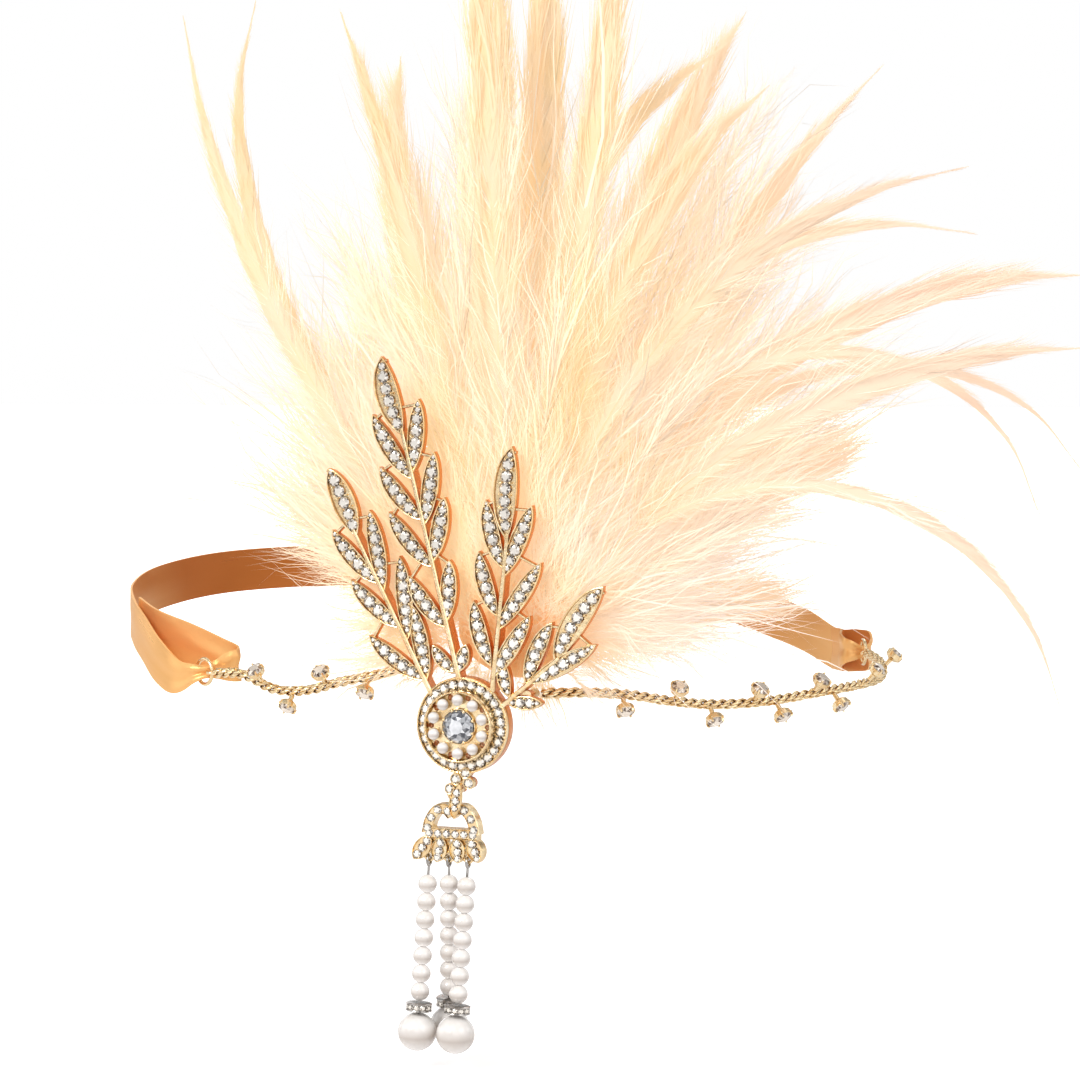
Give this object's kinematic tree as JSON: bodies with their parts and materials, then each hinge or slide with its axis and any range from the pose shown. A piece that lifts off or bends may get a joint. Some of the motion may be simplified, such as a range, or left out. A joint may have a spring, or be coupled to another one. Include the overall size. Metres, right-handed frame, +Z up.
{
  "type": "feather headband",
  "caption": "Dress headband: gold leaf-spray casting set with stones, pearl medallion and pearl tassel, with a fan of peach feathers, on rope chain and satin ribbon.",
  "frame": {"origin": "the middle of the worn loop, at the height where it sits on the head", "axes": "+Z up through the crown of the head, -Y to the front, where the casting is, +X to the right as seen from the front"},
  "size_m": [0.2186, 0.2003, 0.2344],
  "materials": {
    "gold": "polished pale gold plate",
    "crystal": "clear cut stone with a foiled back",
    "pearl": "white imitation pearl",
    "satin": "apricot satin ribbon",
    "feather": "soft peach feather"
  },
  "bodies": {
    "headpiece": {"leaf_medallion": "gold", "rope_chain_left": "gold", "rope_chain_right": "gold", "jump_ring_left": "gold", "jump_ring_right": "gold", "stud_left_1": "gold", "stud_left_2": "gold", "stud_left_3": "gold", "stud_left_4": "gold", "stud_right_1": "gold", "stud_right_2": "gold", "stud_right_3": "gold", "stud_right_4": "gold", "stud_right_5": "gold", "stud_right_6": "gold", "stud_right_7": "gold", "stud_right_8": "gold", "stud_right_9": "gold", "centre_stone": "crystal", "medallion_pearl_1": "pearl", "medallion_pearl_2": "pearl", "medallion_pearl_3": "pearl", "medallion_pearl_4": "pearl", "medallion_pearl_5": "pearl", "medallion_pearl_6": "pearl", "medallion_pearl_7": "pearl", "medallion_pearl_8": "pearl", "medallion_pearl_9": "pearl", "medallion_pearl_10": "pearl", "ribbon": "satin", "feather_plume": "feather"},
    "tassel": {"tassel_link": "gold", "tassel_cap": "gold", "pearl_strand_1": "pearl", "crystal_rondelle_1": "crystal", "end_pearl_1": "pearl", "pearl_strand_2": "pearl", "crystal_rondelle_2": "crystal", "end_pearl_2": "pearl", "pearl_strand_3": "pearl", "crystal_rondelle_3": "crystal", "end_pearl_3": "pearl"}
  },
  "joints": [
    {"name": "tassel_swing", "type": "hinge", "parent": "headpiece", "child": "tassel", "pos_m": [-0.00258, -0.09809, -0.0214], "axis": [0.2079, 0.9781, 0], "range_deg": [-35, 35]}
  ]
}
